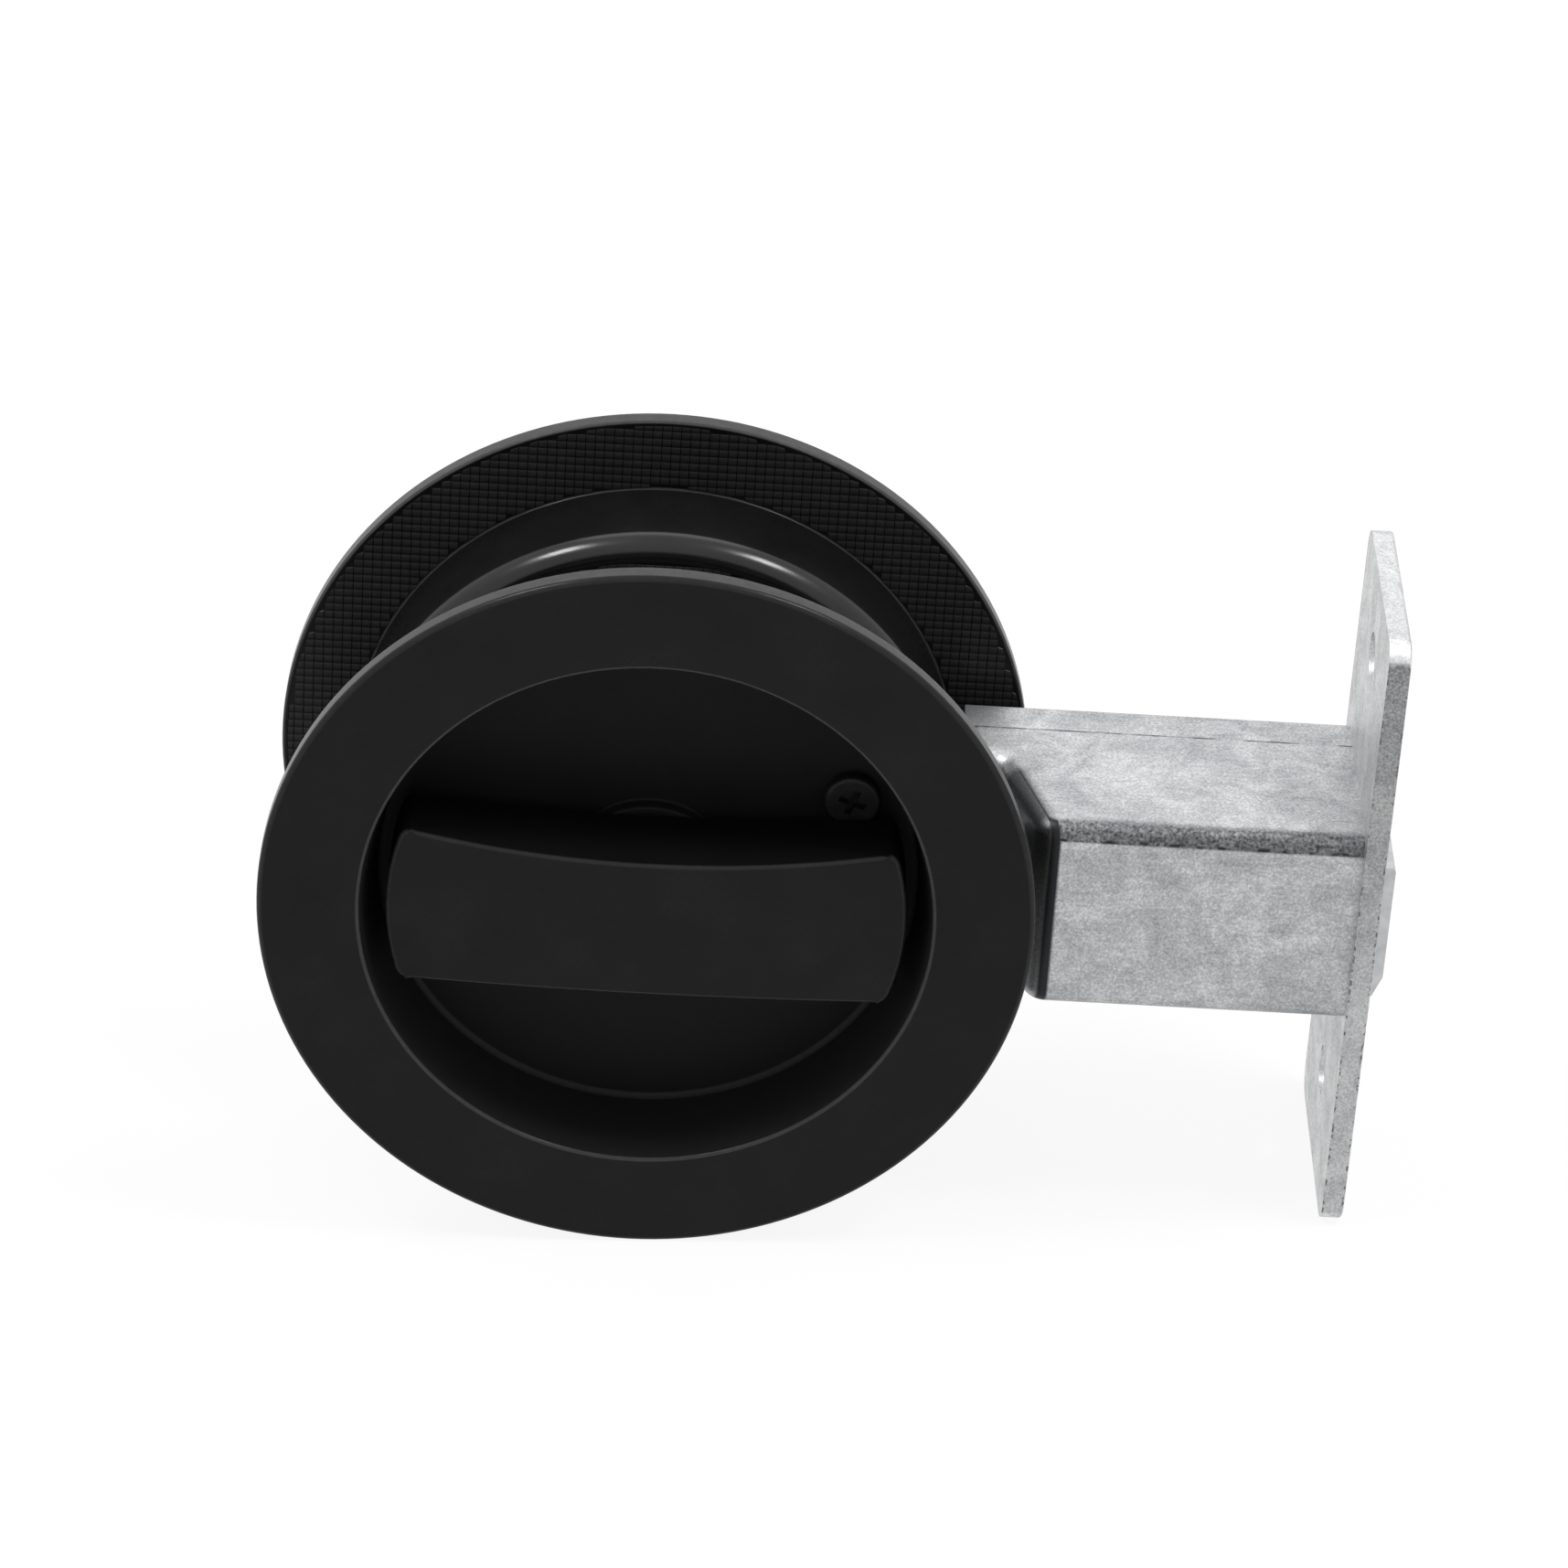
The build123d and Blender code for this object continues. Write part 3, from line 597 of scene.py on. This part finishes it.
posts = {"pitch": 38.1, "angle": 26.8, "radius": 2.6, "root": 4.5, "segments": 48}


def addPosts(bm, s):
    # Screw posts cast on the back rosette, from inside its cup to the front of its box
    end = sidesOf("back_rosette")["front"]
    turn = radians(s["angle"])
    for side in (1, -1):
        reach = side * s["pitch"] / 2
        centre = Vector((reach * cos(turn), (s["root"] + end) / 2, reach * sin(turn)))
        matrix = Matrix.Translation(centre) @ Matrix.Rotation(radians(90), 4, "X")
        bmesh.ops.create_cone(bm, cap_ends=True, segments=s["segments"], radius1=s["radius"],
                              radius2=s["radius"], depth=s["root"] - end, matrix=matrix)


finishPiece("frontRosette", makeRosette(rosette, -1), rosette["coats"], "case", "front_rosette")
backCasting = makeRosette(rosette, 1)
addPosts(backCasting, posts)
finishPiece("backRosette", backCasting, rosette["coats"], "case", "back_rosette")
print("rosettes made")


turnBar = {
    "waist": 12.9, "crownEnd": 14.5, "back": 8.6, "shaft": 4.0,
    "edge": 0.35, "edgeSegments": 4, "edgeRubAndHighlight": 0.05, "corner": 0.9, "cornerSegments": 5,
    "edgeAngle": 45,                                   # an edge that turns further is rounded
    "coats": ["satinBlackZinc", "dullBlackZincSide"], "dullDepth": 13.4,
    "along": 64, "across": 12, "settling": 3, "shaftSegments": 64,
}


def makeTurnBar(s):
    # Bow-tie bar: a grid shaped to its outline and crown, drawn back to the cup, rims and corners rounded
    box = sidesOf("turn_snib")
    endRadius, endHalf = box["right"], box["top"]
    crownTop, shaftEnd = -box["front"], -box["back"]
    half = sqrt(endRadius ** 2 - endHalf ** 2)
    rise = endHalf - s["waist"] / 2
    sideRadius = (half ** 2 + rise ** 2) / (2 * rise)
    crown = crownTop - s["crownEnd"]
    crownRadius = (half ** 2 + crown ** 2) / (2 * crown)
    bm = bmesh.new()
    rubAndHighlightLayer = bm.verts.layers.float.new("rubAndHighlight")
    bmesh.ops.create_grid(bm, x_segments=s["along"], y_segments=s["across"], size=1.0)
    for vert in bm.verts:
        u, v = vert.co.x, vert.co.y
        x = u * half
        for settle in range(s["settling"]):
            z = v * (s["waist"] / 2 + sideRadius - sqrt(sideRadius ** 2 - min(abs(x), half) ** 2))
            x = u * sqrt(endRadius ** 2 - z ** 2)
        vert.co = (x, crownRadius - crownTop - sqrt(crownRadius ** 2 - x ** 2), z)
    made = bmesh.ops.extrude_face_region(bm, geom=list(bm.faces))
    for item in made["geom"]:
        if isinstance(item, bmesh.types.BMVert):
            item.co.y = -s["back"]
    bmesh.ops.recalc_face_normals(bm, faces=bm.faces)
    upright = [edge for edge in bm.edges if edge.calc_face_angle() > radians(s["edgeAngle"]) and
               abs(edge.verts[0].co.y - edge.verts[1].co.y) > s["edge"]]
    bmesh.ops.bevel(bm, geom=upright, offset=s["corner"], offset_type="OFFSET", affect="EDGES",
                    segments=s["cornerSegments"], profile=0.5, material=-1)
    rim = [edge for edge in bm.edges if edge.calc_face_angle() > radians(s["edgeAngle"]) and
           max(vert.co.y for vert in edge.verts) < -s["dullDepth"]]
    made = bmesh.ops.bevel(bm, geom=rim, offset=s["edge"], offset_type="OFFSET", affect="EDGES",
                           segments=s["edgeSegments"], profile=0.5, material=-1)
    rounded = set(made["faces"])
    # The rounded rims are painted a little lighter, as rub and painted highlight
    for face in rounded:
        for vert in face.verts:
            vert[rubAndHighlightLayer] = s["edgeRubAndHighlight"] if rounded.issuperset(vert.link_faces) else 0.0
    # Shaft behind the bar
    matrix = Matrix.Translation((0, -(s["back"] + shaftEnd) / 2, 0)) @ Matrix.Rotation(radians(90), 4, "X")
    bmesh.ops.create_cone(bm, cap_ends=True, segments=s["shaftSegments"], radius1=s["shaft"],
                          radius2=s["shaft"], depth=s["back"] - shaftEnd, matrix=matrix)
    for face in bm.faces:
        face.material_index = int(abs(face.calc_center_median().y) < s["dullDepth"])
    return bm


finishPiece("turnBar", makeTurnBar(turnBar), turnBar["coats"], "turn", "turn_snib")
print("turn bar made")
